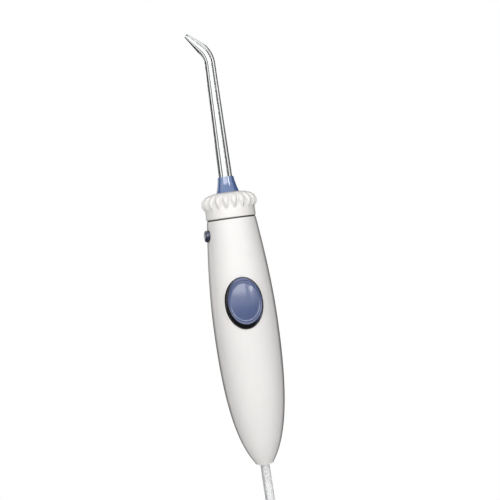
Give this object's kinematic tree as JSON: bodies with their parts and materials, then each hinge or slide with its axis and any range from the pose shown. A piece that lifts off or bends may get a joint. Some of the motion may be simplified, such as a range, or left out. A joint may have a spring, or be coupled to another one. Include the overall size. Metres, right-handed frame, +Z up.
{
  "type": "water flosser hand piece",
  "caption": "Slim two-shell water flosser handle with a turning fluted collar, a clear bent jet tip, an oval pause button, a side eject button and its supply hose.",
  "frame": {"origin": "on the handle's axis at the middle of the grip, 70 mm above the shells' lower end", "axes": "+Z up the handle to the jet tip, -Y towards the oval pause button, -X the way the jet tip bends"},
  "size_m": [0.0564, 0.0377, 0.4203],
  "materials": {
    "white_shell": "gloss",
    "white_collar": "satin",
    "clear_tip": "polished",
    "blue_foot": "gloss",
    "blue_button": "gloss",
    "valve_plastic": "matte",
    "seal_rubber": "matte",
    "spring_steel": "bright",
    "hose_vinyl": "satin",
    "tie_strap": "woven"
  },
  "bodies": {
    "handle": {"front_shell": "white_shell", "rear_shell": "white_shell", "valve_body": "valve_plastic", "valve_cap": "valve_plastic", "pause_spring": "spring_steel", "socket_o_ring": "seal_rubber", "socket_retainer": "valve_plastic", "catch_carrier": "valve_plastic", "tip_catch": "spring_steel", "eject_spring": "spring_steel", "collar_washer": "seal_rubber", "inner_hose": "hose_vinyl", "hose_clamp": "spring_steel", "hose_grommet": "seal_rubber", "hose_lead": "hose_vinyl", "hose_hank": "hose_vinyl", "hose_tail": "hose_vinyl", "hose_tie": "tie_strap", "hose_connector": "white_collar", "connector_ferrule": "spring_steel", "connector_o_ring": "seal_rubber"},
    "collar": {"turning_collar": "white_collar", "tip_receiver": "valve_plastic", "neck_o_ring": "seal_rubber"},
    "jet": {"jet_tip": "clear_tip", "jet_tip_foot": "blue_foot"},
    "pause_button": {"pause_button": "blue_button", "valve_spool": "valve_plastic", "spool_o_rings": "seal_rubber"},
    "eject_button": {"eject_button": "blue_button"}
  },
  "joints": [
    {"name": "collar_turn", "type": "hinge", "parent": "handle", "child": "collar", "pos_m": [0, 0, 0.075], "axis": [0, 0, 1], "continuous": true},
    {"name": "jet_pull", "type": "slide", "parent": "collar", "child": "jet", "axis": [0, 0, 1], "range_m": [0, 0.034], "deforming": ["tip_catch"]},
    {"name": "pause_press", "type": "slide", "parent": "handle", "child": "pause_button", "axis": [0, 1, 0], "range_m": [0, 0.0024], "stiffness_N_per_m": 900, "springref_m": -0.002, "deforming": ["pause_spring"]},
    {"name": "eject_press", "type": "slide", "parent": "handle", "child": "eject_button", "axis": [0.9659, 0.2588, 0], "range_m": [0, 0.0016], "stiffness_N_per_m": 900, "springref_m": -0.0015, "deforming": ["eject_spring"]}
  ]
}
